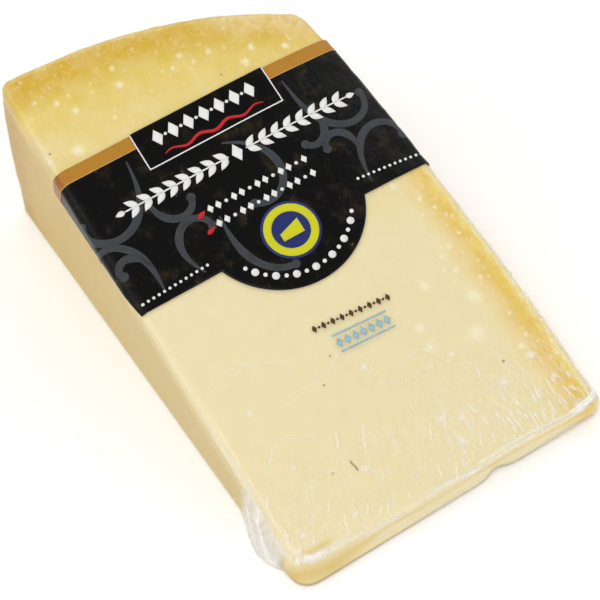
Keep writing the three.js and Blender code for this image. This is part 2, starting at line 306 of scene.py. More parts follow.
# Inks: colour, roughness, and where they are worn, with painted glints, how much and with which colours
INKS = {
    "black_print": ((13, 13, 13), 0.3, 0.45, BROWN_WEAR_AND_GLINT),
    "box_print": ((14, 13, 13), 0.28, 0.2, BROWN_WEAR_AND_GLINT),
    "gold_print": ((174, 124, 47), 0.3, 0.5, GOLD_WEAR_AND_GLINT),
    "grey_print": ((62, 65, 69), 0.35, 0.5, GREY_WEAR_AND_GLINT),
    "pale_gold_print": ((190, 150, 84), 0.3),
    "white_print": ((226, 226, 224), 0.35),
    "red_print": ((190, 38, 44), 0.35),
    "yellow_print": ((199, 198, 40), 0.32),
    "blue_print": ((42, 50, 104), 0.32),
    "brown_print": ((82, 58, 34), 0.4),
    "pale_blue_print": ((150, 183, 196), 0.4),
}

FILM_ROUGHNESS = 0.16
FILM_IOR = 1.4
FILM_GLOSS_LIMIT = 0.15
HAZE_LIMIT = 0.92

# ---------------------------------------------------------------- camera, floor and light

# The camera: where it stands round the point that it looks at (degrees), and its lens on its sensor
CAMERA_TARGET_MM = (AXIS_X + 96.60, MIDDLE_Y + 6.66, 23.6)
CAMERA_AZIMUTH = 156.144
CAMERA_ELEVATION = 50.124
CAMERA_ROLL = -9.010
CAMERA_DISTANCE_MM = 673.55
CAMERA_LENS = 130.64
CAMERA_SENSOR = 36

# Lamps: azimuth, elevation (degrees), distance, sides (m) and power (W)
LAMPS = {
    "lamp_key": (150, 62, 1.2, (0.8, 0.6), 6.3),
    "lamp_left": (85, 40, 1.1, (0.9, 0.5), 2.4),
    "lamp_front": (205, 28, 1.1, (0.8, 0.3), 1.5),
    "lamp_back": (0, 50, 1.2, (0.9, 0.6), 3.3),
    "lamp_right": (-70, 45, 1.2, (0.9, 0.6), 2.9),
}
LAMP_TARGET = Vector((0, 0, 0.03))
LAMP_COLOUR = (1.0, 0.99, 0.97)

# The surround's strength at the horizon and overhead, and the heights of its direction between them
SURROUND_STRENGTH = (0.76, 0.11)
SURROUND_HEIGHTS = (0.25, 0.8)
SURROUND_COLOUR = (0.97, 0.98, 1.0)

FLOOR_HALF_SIZE = 3.0
# The floor gives a little light of its own, which keeps the shadows on it faint
FLOOR_GLOW = 0.09


def direction(azimuth, elevation):
    """A unit vector at an azimuth and an elevation in degrees."""
    a, e = math.radians(azimuth), math.radians(elevation)
    return Vector((math.cos(a) * math.cos(e), math.sin(a) * math.cos(e), math.sin(e)))


def link_facing(name, data, place, back, roll=0.0):
    """Links an object that stands at a place in metres and looks away from its back, rolled (degrees)."""
    turn = back.to_track_quat("Z", "Y").to_matrix() @ Matrix.Rotation(math.radians(roll), 3, "Z")
    item = bpy.data.objects.new(name, data)
    item.matrix_world = Matrix.Translation(place) @ turn.to_4x4()
    bpy.context.scene.collection.objects.link(item)
    return item


def make_camera():
    data = bpy.data.cameras.new("camera")
    data.lens = CAMERA_LENS
    data.sensor_width = CAMERA_SENSOR
    data.clip_start = 0.01
    back = direction(CAMERA_AZIMUTH, CAMERA_ELEVATION)
    place = (Vector(CAMERA_TARGET_MM) + back * CAMERA_DISTANCE_MM) * MM
    bpy.context.scene.camera = link_facing("camera", data, place, back, CAMERA_ROLL)


def make_lamps():
    """Big soft lamps at low and middle heights all round, so that the top face mirrors none of them."""
    for name, (azimuth, elevation, distance, sides, power) in LAMPS.items():
        data = bpy.data.lights.new(name, "AREA")
        data.shape = "RECTANGLE"
        data.size, data.size_y = sides
        data.energy = power
        data.color = LAMP_COLOUR
        away = direction(azimuth, elevation)
        link_facing(name, data, LAMP_TARGET + away * distance, away)


def make_surround():
    """A surround that is bright round the horizon and dim overhead, where the top face is mirrored."""
    world = bpy.data.worlds.new("world")
    world.use_nodes = True
    s = Nodes(world.node_tree)
    background = s.nodes["Background"]
    up = s.add("SeparateXYZ", "Z", {0: s.add("TexCoord", "Generated")})
    s.put(s.step(up, *SURROUND_HEIGHTS, *SURROUND_STRENGTH), background.inputs["Strength"])
    s.put(SURROUND_COLOUR, background.inputs["Color"])
    bpy.context.scene.world = world


def make_floor():
    s = Shading("pale_floor")
    s.set(Base_Color=(0.96, 0.96, 0.955), Roughness=0.9, Specular_IOR_Level=0.1)
    s.set(Emission_Color=(1, 1, 1), Emission_Strength=FLOOR_GLOW)
    mesh = bpy.data.meshes.new("floor")
    half = FLOOR_HALF_SIZE
    corners = [(-half, -half, 0), (half, -half, 0), (half, half, 0), (-half, half, 0)]
    mesh.from_pydata(corners, [], [range(4)])
    mesh.materials.append(s.material)
    floor = bpy.data.objects.new("floor", mesh)
    bpy.context.scene.collection.objects.link(floor)


# ---------------------------------------------------------------- material helpers


def linear(colour):
    """A colour written as 0 to 255 screen values, as the linear light that shaders use."""
    shares = [channel / 255 for channel in colour]
    return tuple(s / 12.92 if s <= 0.04045 else ((s + 0.055) / 1.055) ** 2.4 for s in shares)


class Nodes:
    """Short calls that add linked nodes to a node tree."""

    def __init__(self, tree):
        self.nodes, self.links = tree.nodes, tree.links

    def put(self, value, socket):
        """Links another node's output to a socket, or sets the socket to a plain value."""
        if isinstance(value, bpy.types.NodeSocket):
            self.links.new(value, socket)
        elif socket.type == "RGBA":
            socket.default_value = (*value, 1)
        else:
            socket.default_value = value

    def add(self, kind, output, inputs=(), **settings):
        """Adds a node with its settings and inputs, and gives one of its outputs."""
        node = self.nodes.new("ShaderNode" + kind)
        for key, value in settings.items():
            setattr(node, key, value)
        for key, value in dict(inputs).items():
            self.put(value, node.inputs[key])
        return node.outputs[output]

    def math(self, operation, *values):
        return self.add("Math", 0, enumerate(values), operation=operation)

    def times(self, first, second):
        return self.math("MULTIPLY", first, second)

    def without(self, share):
        """What a share leaves of 1."""
        return self.math("SUBTRACT", 1.0, share)

    def attribute(self, name):
        return self.add("Attribute", "Fac", attribute_name=name)

    def place(self, stretch=(1, 1, 1), heading=0.0):
        """The point's place in mm along axes headed by an angle round Z, stretched by factors."""
        inputs = {
            "Vector": self.add("TexCoord", "Object"),
            "Rotation": (0, 0, heading),
            "Scale": [MM / factor for factor in stretch],
        }
        return self.add("Mapping", "Vector", inputs, vector_type="TEXTURE")

    def noise(self, size, detail=3, roughness=0.55, vector=None):
        """Noise from 0 to 1 with features of about that size in millimetres."""
        inputs = {"Scale": 1 / size, "Detail": detail, "Roughness": roughness}
        return self.add("TexNoise", "Fac", {"Vector": vector or self.place(), **inputs})

    def cells(self, size):
        """Distance to the nearest of many scattered points, in cell sizes."""
        return self.add("TexVoronoi", "Distance", {"Vector": self.place(), "Scale": 1 / size})

    def step(self, value, low, high, to_low=0.0, to_high=1.0):
        """A smooth step of value between low and high."""
        inputs = enumerate((value, low, high, to_low, to_high))
        return self.add("MapRange", "Result", inputs, interpolation_type="SMOOTHSTEP")

    def ramp(self, value, stops):
        """Colours by value, with stops as (value, screen colour)."""
        node = self.nodes.new("ShaderNodeValToRGB")
        reach = stops[-1][0]
        self.put(self.math("DIVIDE", value, reach), node.inputs["Fac"])
        elements = node.color_ramp.elements
        while len(elements) < len(stops):
            elements.new(0.5)
        for element, (at, colour) in zip(elements, stops):
            element.position = at / reach
            element.color = (*linear(colour), 1)
        return node.outputs["Color"]

    def mix(self, share, first, second, blend="MIX"):
        inputs = {"Factor": share, 6: first, 7: second}
        return self.add("Mix", 2, inputs, data_type="RGBA", blend_type=blend)

    def tint(self, colour, screen_colour, share, strength=1):
        """A colour with a share of a screen colour mixed in."""
        if strength != 1:
            share = self.times(share, strength)
        return self.mix(share, colour, linear(screen_colour))

    def bump(self, height, depth, normal=None):
        """Relief from a height of 0 to 1, with its depth in millimetres, on top of another's."""
        inputs = {"Height": height, "Distance": depth * MM}
        if normal is not None:
            inputs["Normal"] = normal
        return self.add("Bump", "Normal", inputs)


class Shading(Nodes):
    """The nodes of a new material."""

    def __init__(self, name):
        self.material = bpy.data.materials.new(name)
        self.material.use_nodes = True
        super().__init__(self.material.node_tree)

    def set(self, **inputs):
        """Sets the main shader's inputs, given with underscores for spaces."""
        shader = self.nodes["Principled BSDF"]
        for name, value in inputs.items():
            self.put(value, shader.inputs[name.replace("_", " ")])


# ---------------------------------------------------------------- shape of the pack


def lattice_noise(points, cell, seed):
    """Smooth noise from -1 to 1 at each point, with features of about one cell (mm)."""
    count = 32
    table = np.random.default_rng(seed).uniform(-1, 1, (count, count, count))
    place = np.asarray(points) / cell + seed * 0.37
    low = np.floor(place).astype(int)
    part = place - low
    part = part**2 * (3 - 2 * part)
    total = np.zeros(len(place))
    for corner in np.ndindex(2, 2, 2):
        weight = np.prod(np.where(corner, part, 1 - part), axis=1)
        index = (low + corner) % count
        total += weight * table[index[:, 0], index[:, 1], index[:, 2]]
    return total


def smooth(value, low, high):
    """0 below low, 1 above high, and a smooth rise between."""
    share = np.clip((value - low) / (high - low), 0, 1)
    return share**2 * (3 - 2 * share)


def line_at(value, middle, half):
    """1 on a line where a value has its middle, falling off over a half width."""
    return np.exp(-(((value - middle) / half) ** 2))


def run_along(path):
    """The distance gone along a path at each of its points."""
    return np.concatenate([[0], np.cumsum(np.linalg.norm(np.diff(path, axis=0), axis=1))])


def top_angle(y):
    """The top face's angle up from the floor, which drops towards the flank."""
    share = np.maximum(0, CROWN_START_Y - y) / (CROWN_START_Y - CROWN_END_Y)
    return SECTOR_ANGLE - CROWN_DROP * share**2


def rim_radius(y):
    past = np.maximum(0, RIM_ARC_START_Y - y)
    return WHEEL_RADIUS - RIM_ARC_RADIUS + np.sqrt(RIM_ARC_RADIUS**2 - past**2)


def flank_y(radius):
    past = np.maximum(0, radius - FLANK_CROWN_START)
    return -HALF_WHEEL_HEIGHT / 2 + FLANK_CROWN_RADIUS - np.sqrt(FLANK_CROWN_RADIUS**2 - past**2)


def shoulder_corner():
    """Where rim and flank meet, found by going back and forth between them."""
    radius = WHEEL_RADIUS
    for _ in range(30):
        radius = rim_radius(flank_y(radius))
    return np.array([radius, flank_y(radius)])


def sector_points(radius, y, angle):
    """Model coordinates (mm) of points given by radius, y and angle."""
    return np.stack([AXIS_X + radius * np.cos(angle), MIDDLE_Y + y, radius * np.sin(angle)], axis=-1)


def radius_and_y(points):
    return np.hypot(points[:, 0] - AXIS_X, points[:, 2]), points[:, 1] - MIDDLE_Y


def height_share_at(radius, depth):
    """The outline's share of the height at a depth below the top face."""
    wall_height = radius * SECTOR_ANGLE - TOP_EDGE_ROUND - FOOT_EDGE_ROUND
    wall_share = np.maximum(0, depth - TOP_EDGE_ROUND) / wall_height
    round_share = np.minimum(depth, TOP_EDGE_ROUND) / TIP_HEIGHT
    return 1 - round_share - wall_share * (1 - (TOP_EDGE_ROUND + FOOT_EDGE_ROUND) / TIP_HEIGHT)


def ear_reach(radius, height_share):
    """How far the spare film stands off the left side."""
    along = np.clip((radius - EAR_START_RADIUS) / EAR_LENGTH, 0, 1)
    swell = np.maximum(0, np.sin(np.pi * along**EAR_SKEW_POWER)) ** EAR_SWELL_POWER
    return EAR_REACH * swell * (1 - height_share) ** EAR_RISE_POWER


def bezier(start, corner, end, t):
    t = t[:, None]
    return (1 - t) ** 2 * start + 2 * t * (1 - t) * corner + t**2 * end


def sampled(path, values, shares):
    """Values given along a path, at shares of the path's length."""
    run = run_along(path)
    at = np.asarray(shares) * run[-1]
    return np.stack([np.interp(at, run, values[:, k]) for k in (0, 1)], axis=-1)


def outline_corners(height_share):
    """The outline's corners before they are rounded, clockwise, as radius and y."""
    left_y = LEFT_Y + FOOT_SPREAD * (1 - height_share)
    tip_left, tip_right = (
        TIP_FOOT[side] + (TIP_TOP[side] - TIP_FOOT[side]) * height_share for side in ("left", "right")
    )
    return {
        "tip_left": np.array([tip_left, left_y]),
        "heel_left": np.array([WHEEL_RADIUS, left_y]),
        "heel_right": shoulder_corner(),
        "tip_right": np.array([tip_right, flank_y(tip_right)]),
    }


def outline_sides(height_share, distance, with_ear):
    """The outline's four sides as radius and y, clockwise, each from mid-corner to mid-corner.

    An outline that will be drawn in by a distance gets wide enough corners for it.
    """
    corners = outline_corners(height_share)
    names, places = list(corners), list(corners.values())
    cuts = [max(CORNER_CUT[name], distance * CUT_PER_INSET) for name in names]
    ends = [(places[i], places[(i + 1) % 4]) for i in range(4)]

    def side_points(i, t):
        (radius, y), (end_radius, end_y) = ends[i]
        radii, ys = radius + t * (end_radius - radius), y + t * (end_y - y)
        if names[i] == "heel_left":
            radii = rim_radius(ys)
        if names[i] == "heel_right":
            ys = flank_y(radii)
        return np.stack([radii, ys], axis=-1)

    edges = []
    for i, (start, end) in enumerate(ends):
        length = np.linalg.norm(start - end)
        edges.append(side_points(i, np.linspace(cuts[i] / length, 1 - cuts[(i + 1) % 4] / length, 120)))
    half = np.linspace(0.5, 1, 25)[:-1]
    sides = []
    for i, (start, end) in enumerate(ends):
        opening = bezier(edges[i - 1][-1], start, edges[i][0], half)
        closing = bezier(edges[i][-1], end, edges[(i + 1) % 4][0], 1 - half[::-1])
        sides.append(np.concatenate([opening, edges[i], closing]))
    if with_ear:
        for side in sides:
            side[:, 1] += np.where(side[:, 1] > 0, ear_reach(side[:, 0], height_share), 0)
    return sides


def inset(points, distance):
    """The outline drawn in by a distance, at right angles to itself."""
    run = np.roll(points, -1, axis=0) - np.roll(points, 1, axis=0)
    run /= np.linalg.norm(run, axis=1)[:, None]
    return points + np.stack([run[:, 1], -run[:, 0]], axis=-1) * distance


def filled_patch(loop, rows, columns, u, v):
    """A grid that fills a loop of points, blended between its four sides."""
    left = loop[: rows + 1]
    heel = loop[rows : rows + columns + 1]
    flank = loop[rows + columns : 2 * rows + columns + 1][::-1]
    tip = np.concatenate([loop[2 * rows + columns :], loop[:1]])[::-1]
    u, v = u[:, None, None], v[None, :, None]
    sides = (1 - v) * left[:, None] + v * flank[:, None] + (1 - u) * tip[None] + u * heel[None]
    corners = (1 - u) * ((1 - v) * left[0] + v * flank[0]) + u * ((1 - v) * left[-1] + v * flank[-1])
    return (sides - corners).reshape(-1, 2)


class PackSurface:
    """The pack's closed outer surface: a grid on the top face, rings down its wall and in underneath."""

    def __init__(self, rows, columns, round_rings, wall_rings, with_ear):
        self.with_ear = with_ear
        steps = np.linspace(0, 1, rows + 1)
        self.along = steps * (1 - ROW_GRADING) + ROW_GRADING * steps**2
        self.across = np.linspace(0, 1, columns + 1)
        self.points, self.rings = [], []
        self.add_top(rows, columns)
        self.add_wall(round_rings, wall_rings)
        self.add_underside()
        self.points = np.concatenate(self.points)
        self.faces = self.make_faces()
        self.normals = vertex_normals(self.points, self.faces)
        self.radius, self.y = radius_and_y(self.points)
        self.angle = np.arctan2(self.points[:, 2], self.points[:, 0] - AXIS_X)
        self.depth = (top_angle(self.y) - self.angle) * self.radius

    def outline(self, height_share, distance):
        """The closed outline drawn in by a distance, with a point for each row and column."""
        sides = outline_sides(height_share, distance, self.with_ear)
        drawn_in = inset(np.concatenate([side[:-1] for side in sides]), distance)
        drawn_in = np.concatenate([drawn_in, drawn_in[:1]])
        found, start = [], 0
        for side, shares in zip(sides, (self.along, self.across, 1 - self.along[::-1], self.across)):
            end = start + len(side)
            found.append(sampled(side, drawn_in[start:end], shares)[:-1])
            start = end - 1
        return np.concatenate(found)

    def add_top(self, rows, columns):
        """The grid of the top face, and its border as the first ring, clockwise."""
        top = filled_patch(self.outline(1, TOP_EDGE_ROUND), rows, columns, self.along, self.across)
        self.points.append(sector_points(top[:, 0], top[:, 1], top_angle(top[:, 1])))
        self.top_count = len(top)
        self.grid = np.arange(self.top_count).reshape(rows + 1, columns + 1)
        sides = [self.grid[:-1, 0], self.grid[-1, :-1], self.grid[:0:-1, -1], self.grid[0, :0:-1]]
        self.rings.append(np.concatenate(sides))

    def add_ring(self, points, angle):
        start = sum(len(p) for p in self.points)
        self.rings.append(np.arange(start, start + len(points)))
        self.points.append(sector_points(points[:, 0], points[:, 1], angle))

    def add_wall(self, round_rings, wall_rings):
        """Rings round the top edge, down the wall and round the foot."""
        for k in range(1, round_rings + 1):
            turn = math.pi / 2 * k / round_rings
            depth = TOP_EDGE_ROUND * (1 - math.cos(turn))
            points = self.outline(1 - depth / TIP_HEIGHT, TOP_EDGE_ROUND * (1 - math.sin(turn)))
            self.add_ring(points, top_angle(points[:, 1]) - depth / points[:, 0])
        wall_top = 1 - TOP_EDGE_ROUND / TIP_HEIGHT
        wall_foot = FOOT_EDGE_ROUND / TIP_HEIGHT
        for k in range(1, wall_rings):
            share = k / wall_rings
            points = self.outline(wall_top + (wall_foot - wall_top) * share, 0)
            high = top_angle(points[:, 1]) - TOP_EDGE_ROUND / points[:, 0]
            low = FOOT_EDGE_ROUND / points[:, 0]
            self.add_ring(points, high + (low - high) * share)
        for k in range(round_rings, -1, -1):
            turn = math.pi / 2 * k / round_rings
            height = FOOT_EDGE_ROUND * (1 - math.cos(turn))
            points = self.outline(height / TIP_HEIGHT, FOOT_EDGE_ROUND * (1 - math.sin(turn)))
            self.add_ring(points, height / points[:, 0])

    def add_underside(self):
        """Shrinking rings on the floor, and the point in their middle."""
        centre = np.array([(TIP_TOP["right"] + WHEEL_RADIUS) / 2, 0])
        foot = self.outline(0, FOOT_EDGE_ROUND)
        for share in UNDERSIDE_SHARES:
            self.add_ring(centre + (foot - centre) * share, 0)
        self.points.append(sector_points(centre[0], centre[1], 0)[None])

    def make_faces(self):
        corners = [self.grid[:-1, :-1], self.grid[:-1, 1:], self.grid[1:, 1:], self.grid[1:, :-1]]
        quads = [np.stack(corners, axis=-1).reshape(-1, 4)]
        for upper, lower in zip(self.rings[:-1], self.rings[1:]):
            quads.append(np.stack([upper, np.roll(upper, -1), np.roll(lower, -1), lower], axis=-1))
        last = self.rings[-1]
        middle = np.full(len(last), len(self.points) - 1)
        fan = np.stack([last, np.roll(last, -1), middle], axis=-1)
        return [*np.concatenate(quads).tolist(), *fan.tolist()]


def vertex_normals(points, faces):
    """Unit normals at the points, from the faces around each."""
    normals = np.zeros_like(points)
    for size in (3, 4):
        group = np.array([face for face in faces if len(face) == size]).reshape(-1, size)
        a, b, c = points[group[:, 0]], points[group[:, 1]], points[group[:, 2]]
        d = points[group[:, -1]]
        area = np.cross(c - a, d - b) if size == 4 else np.cross(b - a, c - a)
        for k in range(size):
            np.add.at(normals, group[:, k], area)
    return normals / np.maximum(np.linalg.norm(normals, axis=1), 1e-12)[:, None]


def add_piece(name, points, faces, material, nodes, attributes=None):
    """A smooth mesh piece from points in mm, which rides on the body and stands for CAD nodes."""
    mesh = bpy.data.meshes.new(name)
    mesh.from_pydata((np.asarray(points) * MM).tolist(), [], faces)
    mesh.polygons.foreach_set("use_smooth", np.ones(len(mesh.polygons), bool))
    for key, values in (attributes or {}).items():
        layer = mesh.attributes.new(key, "FLOAT", "POINT")
        layer.data.foreach_set("value", np.asarray(values, np.float32))
    mesh.materials.append(material)
    mesh.update()
    piece = bpy.data.objects.new(name, mesh)
    bpy.context.scene.collection.objects.link(piece)
    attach(piece, "root")
    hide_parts(*nodes)


# ---------------------------------------------------------------- relief of cheese and film


def spots(surface, places, raggedness):
    """1 in the middle of each named spot on the top face, falling off to 0 at twice its half width."""
    total = np.zeros(len(surface.points))
    top = surface.angle > top_angle(surface.y) - 0.01
    stretch = 1 + raggedness * lattice_noise(surface.points, 1.3, 6)
    for radius, y, half in places:
        distance = np.hypot(surface.radius - radius, surface.y - y) * stretch
        total = np.maximum(total, np.where(top, np.clip(1 - distance / (2 * half), 0, 1), 0))
    return total


def bumps(points, layers):
    return sum(height * lattice_noise(points, cell, seed) for height, cell, seed in layers)


def body_relief(points):
    """The unevenness that the cheese and the film over it share (mm)."""
    radius, y = radius_and_y(points)
    rind = np.minimum(rim_radius(y) - radius, (y - flank_y(radius)) * 1.3)
    near_rind = 1 - smooth(rind, 3, 14)
    near_floor = 1 - smooth(points[:, 2], 0.2, 3)
    return (bumps(points, BODY_BUMPS) + near_rind * bumps(points, RIND_BUMPS)) * (1 - near_floor)


def crease(radius, y, path, width, height):
    """A ridge of film along a path of (radius, y) points, tapering out at both its ends."""
    path = np.asarray(path, float)
    run = run_along(path)
    best = np.full(len(radius), np.inf)
    along = np.zeros(len(radius))
    place = np.stack([radius, y], axis=-1)
    for k in range(len(path) - 1):
        leg = path[k + 1] - path[k]
        length = np.linalg.norm(leg)
        t = np.clip((place - path[k]) @ leg / length**2, 0, 1)
        gap = np.linalg.norm(place - path[k] - t[:, None] * leg, axis=1)
        along = np.where(gap < best, (run[k] + t * length) / run[-1], along)
        best = np.minimum(best, gap)
    taper = np.sin(np.pi * np.clip(along, 0.02, 0.98)) ** 0.4
    return height * taper * line_at(best, 0, width)


def highest_crease(radius, y, paths, width, height):
    """The highest at each place of the creases along several paths."""
    return np.max([crease(radius, y, path, width, height) for path in paths], axis=0)


def film_folds(surface):
    """The film's own ridges by the tip (mm): long creases and short streaks."""
    top = smooth(surface.angle - top_angle(surface.y), -0.06, -0.01)
    near = np.flatnonzero((top > 0) & (surface.radius < FOLDS_END_RADIUS))
    radius, y = surface.radius[near], surface.y[near]
    creases = highest_crease(radius, y, CREASES, *CREASE_SIZE)
    streaks = highest_crease(radius, y, STREAKS, *STREAK_SIZE)
    folds = np.zeros(len(surface.points))
    folds[near] = np.maximum(creases, streaks) * top[near]
    return folds


def foot_notch(surface):
    """How far a fold pushes the foot of the tip's wall in towards the rind (mm)."""
    near_tip = 1 - smooth(surface.radius, 26, TIP_END_RADIUS)
    near_foot = 1 - smooth(surface.points[:, 2], 1, 6)
    return NOTCH_DEPTH * line_at(surface.y, NOTCH_Y, NOTCH_HALF_WIDTH) * near_tip * near_foot


def past_bead_line(surface):
    """How far out over the tip's edge a place lies, from the bead's inner line (mm)."""
    inner = np.interp(surface.y, *zip(*BEAD_LINE))
    return (inner - surface.radius) * (surface.radius < TIP_END_RADIUS) + surface.depth


# ---------------------------------------------------------------- the cheese


def paste_colour(s, rim_depth, flank_depth, grainy):
    """Ivory that turns golden towards the rind, with grain beside the rind and faint clouds all over."""
    from_rim = s.ramp(s.math("MAXIMUM", rim_depth, 0.0), RIM_COLOURS)
    # Right at the flank's edge this ramp also carries painted highlight of the film
    from_flank = s.ramp(s.math("MAXIMUM", flank_depth, 0.0), FLANK_COLOURS)
    colour = s.mix(1.0, from_rim, from_flank, "DARKEN")
    colour = s.tint(colour, (238, 222, 166), s.attribute("pale_rim"))
    amber = s.times(grainy, s.step(s.noise(3.2, detail=6, roughness=0.7), 0.47, 0.66))
    colour = s.tint(colour, (214, 164, 44), amber, 0.5)
    pale = s.times(grainy, s.step(s.noise(1.5, detail=5, roughness=0.7), 0.54, 0.7))
    colour = s.tint(colour, (243, 226, 168), pale, 0.55)
    clouds = s.step(s.noise(7.0, detail=4), 0.35, 0.65)
    colour = s.tint(colour, (246, 234, 196), clouds, 0.16)
    flecks = s.step(s.noise(2.6), 0.6, 0.74)
    return s.tint(colour, (246, 236, 204), flecks, 0.3)


def rind_colour(s, grain):
    """Brown in broad patches, with darker grain."""
    patches = s.step(s.noise(11.0, detail=4), 0.3, 0.7)
    colour = s.mix(patches, linear((206, 166, 88)), linear((219, 184, 108)))
    return s.tint(colour, (190, 146, 72), s.step(grain, 0.5, 0.75, 0.0, 0.45))


def spotted(s, colour, golden):
    """A colour with specks where it is golden, with the crystals, and with the pits and the scratch
    painted dark as shade in them.
    """
    specks = s.times(s.step(s.cells(1.7), 0.16, 0.10), s.step(s.noise(4.0), 0.5, 0.62))
    colour = s.tint(colour, (245, 232, 190), s.times(specks, golden), 0.75)
    frayed = s.math("ADD", s.attribute("crystal"), s.math("SUBTRACT", s.noise(0.9), 0.5))
    colour = s.tint(colour, (246, 238, 208), s.step(frayed, 0.18, 0.95), 0.8)
    # Painted shade in the pits and the scratch
    return s.tint(colour, (96, 74, 30), s.step(s.attribute("pit"), 0.25, 0.7), 0.9)


def cheese_material():
    """Ivory paste with a golden rim and white crystals, a tan left cut that also carries painted shade,
    painted shade in its pits, under the tip's bead and along its foot, and a brown rind.
    """
    s = Shading("cheese")
    wobble = s.times(s.math("SUBTRACT", s.noise(5.0, detail=5), 0.5), 9.0)
    rim_depth = s.math("ADD", s.attribute("rim_depth"), wobble)
    flank_depth = s.math("ADD", s.attribute("flank_depth"), s.times(wobble, 0.45))
    golden = s.without(s.step(rim_depth, 6.0, 17.0))
    beside_flank = s.without(s.step(flank_depth, 4.0, 11.0))
    grainy = s.math("MAXIMUM", golden, s.times(beside_flank, 0.6))
    colour = paste_colour(s, rim_depth, flank_depth, grainy)
    # Painted shade, golden, in the crease under the tip's bead
    colour = s.tint(colour, (221, 193, 110), s.attribute("bead_crease_shade"))
    # Painted contact shadow: a thin brown line at the foot of the tip's wall
    colour = s.tint(colour, (160, 122, 62), s.attribute("foot_contact_shadow"))
    # The left cut tinted tan and darkened: partly its colour, partly painted shade
    colour = s.mix(s.attribute("side_tan_and_shade"), colour, s.mix(1.0, colour, SIDE_CUT_SHADE, "MULTIPLY"))
    rind = s.attribute("rind")
    rind_grain = s.noise(2.4, detail=6, roughness=0.6)
    colour = s.mix(rind, colour, rind_colour(s, rind_grain))
    fine_grain = s.times(s.noise(0.7, detail=4), s.math("MULTIPLY_ADD", golden, 0.8, 0.35))
    s.set(
        Base_Color=spotted(s, colour, golden),
        Roughness=0.5,
        Specular_IOR_Level=0.3,
        Subsurface_Weight=0.25,
        Subsurface_Radius=(1.0, 0.62, 0.28),
        Subsurface_Scale=0.0022,
        Normal=s.bump(s.times(rind_grain, rind), 0.3, s.bump(fine_grain, 0.12)),
    )
    return s.material


def bead_crease_shade(surface):
    """Painted shade: a golden line under the bead on the tip's wall where the film creases, widest at its
    left end, and one on top there.
    """
    left_end = smooth(surface.y, 22, 44)
    out = past_bead_line(surface)
    wall_line = line_at(out, BEAD_WIDTH + 1.4 + 4.0 * left_end, 0.8 + 3.0 * left_end)
    wall_line *= (surface.radius < TIP_END_RADIUS) * (out > BEAD_WIDTH) * (0.75 + 0.25 * left_end)
    by_corner = smooth(surface.y, 38, 43) * (1 - smooth(surface.y, 50, 52)) * (surface.depth < 0.5)
    return 0.85 * np.maximum(wall_line, 0.7 * line_at(surface.radius, 26.3, 0.9) * by_corner)


def side_tan_and_shade(surface):
    """How tan and darkened the left side is, partly its colour and partly painted shade: less so near its
    top edge and by the heel, and behind the loose film, where it is left paler as painted light over the
    fold's shadow.
    """
    heel = smooth(surface.radius, 172, 188) * (1 - smooth(surface.depth, 5, 15))
    by_ear = 1 - smooth(surface.radius, 45, 52)
    return (0.55 + 0.45 * smooth(surface.depth, 4, 9)) * (1 - 0.6 * heel) * (1 - 0.65 * by_ear)


def make_cheese():
    surface = PackSurface(**CHEESE_MESH, with_ear=False)
    scratch = crease(surface.radius, surface.y, SCRATCH, *SCRATCH_SIZE)
    scratch[surface.top_count :] = 0
    pit = np.maximum(spots(surface, PITS, 0), scratch)
    relief = body_relief(surface.points) - FILM_GAP - PIT_DEPTH * smooth(pit, 0.3, 1.0)
    shape = surface.points + surface.normals * relief[:, None]
    shape[:, 0] += foot_notch(surface)
    wall = smooth(surface.depth, 1, 3)
    to_heel, to_left, height = surface.normals[:, 0], surface.normals[:, 1], surface.points[:, 2]
    rim_depth = rim_radius(surface.y) - surface.radius
    attributes = {
        "rim_depth": rim_depth,
        "flank_depth": surface.y - flank_y(surface.radius),
        "pale_rim": 0.5 * (1 - smooth(rim_depth, 5, 12)) * smooth(-surface.y, 2, 28),
        "crystal": spots(surface, CRYSTALS, 0.22),
        "pit": pit,
        "bead_crease_shade": bead_crease_shade(surface),
        # Painted contact shadow along the foot of the tip's wall
        "foot_contact_shadow": 0.7 * (1 - smooth(height, 0.9, 2.0)) * smooth(-to_heel, 0.1, 0.4),
        "side_tan_and_shade": side_tan_and_shade(surface) * wall * smooth(to_left, 0.55, 0.9),
        "rind": wall * np.maximum(smooth(to_heel, 0.5, 0.85), smooth(-to_left, 0.55, 0.9)),
    }
    add_piece("cheese", shape, surface.faces, cheese_material(), ["cheese_pack"], attributes)


# ---------------------------------------------------------------- the film


def hair_lines(s, zone, heading, spacing, length):
    """Thin parallel strokes that run along a heading (degrees round Z) in a zone, from 0 to 1."""
    field = s.noise(spacing, detail=0.5, vector=s.place((spacing / length, 1, 1), math.radians(heading)))
    return s.times(s.step(field, 0.52, 0.74), s.attribute(zone))


